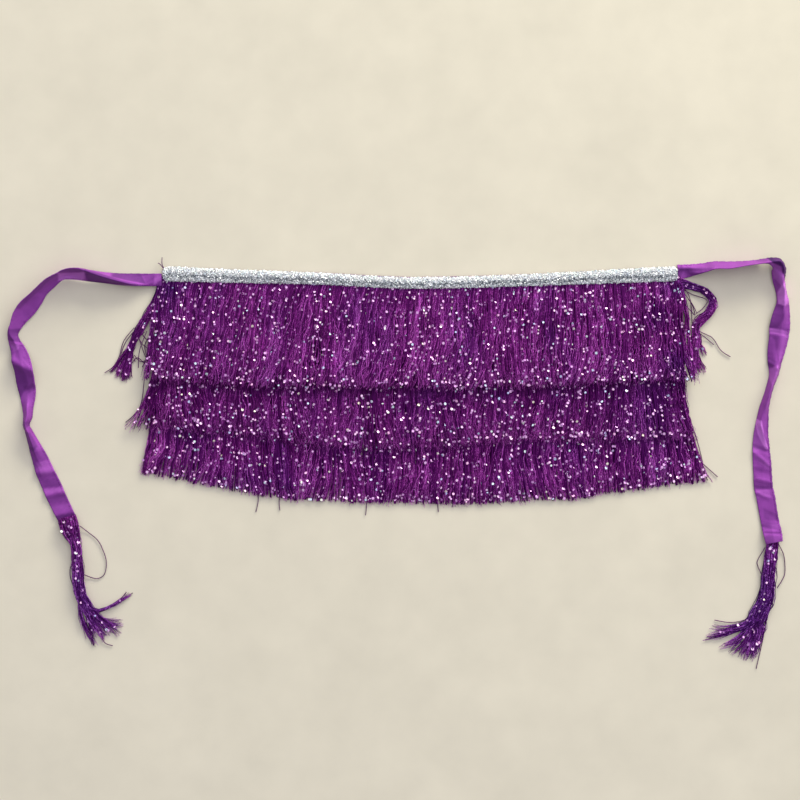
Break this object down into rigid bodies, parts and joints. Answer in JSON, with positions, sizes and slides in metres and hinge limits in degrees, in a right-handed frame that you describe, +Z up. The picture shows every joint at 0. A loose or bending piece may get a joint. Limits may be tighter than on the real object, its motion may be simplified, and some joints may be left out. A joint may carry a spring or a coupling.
{
  "type": "belly dance hip scarf",
  "caption": "Purple belly dance hip scarf laid flat: a cloth band with tiers of sequined fringe, a silver braid along the waist edge, and folded satin ties that end in tassels.",
  "frame": {"origin": "on the floor under the middle of the laid scarf, ties and tassels included", "axes": "+X along the waist edge towards the wearer's tie on the right of the layout, +Y away from the fringe across the waist edge, +Z up from the floor"},
  "size_m": [0.9779, 0.5135, 0.0207],
  "materials": {
    "base_cloth": "matt purple base cloth",
    "fringe": "purple threads with pearly sequins",
    "silver_trim": "metallic silver braid",
    "satin": "glossy purple satin"
  },
  "bodies": {
    "root": {"base_cloth": "base_cloth", "fringe_bottom": "fringe", "fringe_middle": "fringe", "fringe_top": "fringe", "silver_trim": "silver_trim", "tie_left": "satin", "tie_right": "satin", "tassel_left": "fringe", "tassel_right": "fringe"}
  },
  "joints": []
}
